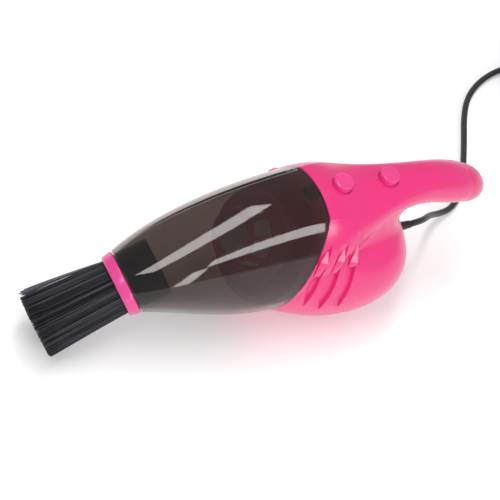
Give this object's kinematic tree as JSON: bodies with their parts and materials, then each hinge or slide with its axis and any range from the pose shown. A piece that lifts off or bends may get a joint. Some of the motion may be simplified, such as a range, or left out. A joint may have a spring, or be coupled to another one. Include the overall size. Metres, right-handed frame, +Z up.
{
  "type": "keyboard vacuum cleaner",
  "caption": "Small hand-held vacuum cleaner for keyboards: smoky dust cup with a round brush, moulded housing with a handle, push buttons, motor with impeller, and a lead with a USB plug.",
  "frame": {"origin": "on the flat of the belly that the machine rests on, in its middle plane, under the fan", "axes": "+X runs back from the brush to the handle, +Y to the right of the machine, +Z up"},
  "size_m": [0.4449, 0.1433, 0.088],
  "materials": {
    "pink_plastic": "glossy moulded ABS",
    "smoky_plastic": "clear smoky polycarbonate",
    "black_plastic": "fine matt",
    "pink_frame_plastic": "plain moulded",
    "filter_cloth": "woven mesh",
    "white_plastic": "plain moulded",
    "steel": "plain",
    "zinc_steel": "zinc plated",
    "ferrite": "matt ferrite",
    "bronze": "plain",
    "copper": "turned",
    "wire_red": "plain sleeve",
    "cord_rubber": "smooth",
    "bristle_nylon": "straight nylon strands"
  },
  "bodies": {
    "base": {"housing_left": "pink_plastic", "housing_right": "pink_plastic", "front_bulkhead": "pink_plastic", "motor_bracket": "white_plastic", "bracket_screws": "steel", "motor_can": "zinc_steel", "motor_magnets": "ferrite", "motor_end_cap": "black_plastic", "motor_bushes": "bronze", "motor_terminals": "bronze", "switch_body": "black_plastic", "switch_pins": "bronze", "release_spring": "steel", "housing_screws": "steel", "lead_wires": "wire_red", "cord_relief": "cord_rubber", "cord": "cord_rubber", "cord_coil": "cord_rubber", "cord_tail": "cord_rubber", "cord_tie": "black_plastic", "plug_grip": "cord_rubber", "plug_shell": "zinc_steel", "plug_tongue": "white_plastic", "plug_contacts": "bronze"},
    "rotor": {"impeller": "white_plastic", "motor_shaft": "steel", "armature": "steel", "commutator": "copper"},
    "cup": {"dust_cup": "smoky_plastic"},
    "brush": {"brush_collar": "pink_plastic", "brush_sleeve": "black_plastic", "bristles_1": "bristle_nylon", "bristles_2": "bristle_nylon", "bristles_3": "bristle_nylon", "bristles_4": "bristle_nylon", "bristles_5": "bristle_nylon", "bristles_6": "bristle_nylon"},
    "filter": {"filter_frame": "pink_frame_plastic", "filter_cloth": "filter_cloth"},
    "release": {"release_button": "pink_plastic", "release_latch": "pink_plastic"},
    "power": {"power_button": "pink_plastic", "switch_plunger": "white_plastic"}
  },
  "joints": [
    {"name": "rotor_spin", "type": "hinge", "parent": "base", "child": "rotor", "pos_m": [-0.02833, 0, 0.04928], "axis": [0.9397, 0, -0.342], "continuous": true},
    {"name": "cup_pull", "type": "slide", "parent": "base", "child": "cup", "axis": [-0.9397, 0, 0.342], "range_m": [0, 0.06]},
    {"name": "brush_pull", "type": "slide", "parent": "cup", "child": "brush", "axis": [-0.8746, 0, -0.4848], "range_m": [0, 0.02]},
    {"name": "filter_pull", "type": "slide", "parent": "base", "child": "filter", "axis": [-0.9397, 0, 0.342], "range_m": [0, 0.006]},
    {"name": "release_press", "type": "slide", "parent": "base", "child": "release", "axis": [0, 0, -1], "range_m": [0, 0.0022], "stiffness_N_per_m": 500, "deforming": ["release_spring"]},
    {"name": "power_press", "type": "slide", "parent": "base", "child": "power", "axis": [0, 0, -1], "range_m": [0, 0.002], "stiffness_N_per_m": 500}
  ]
}
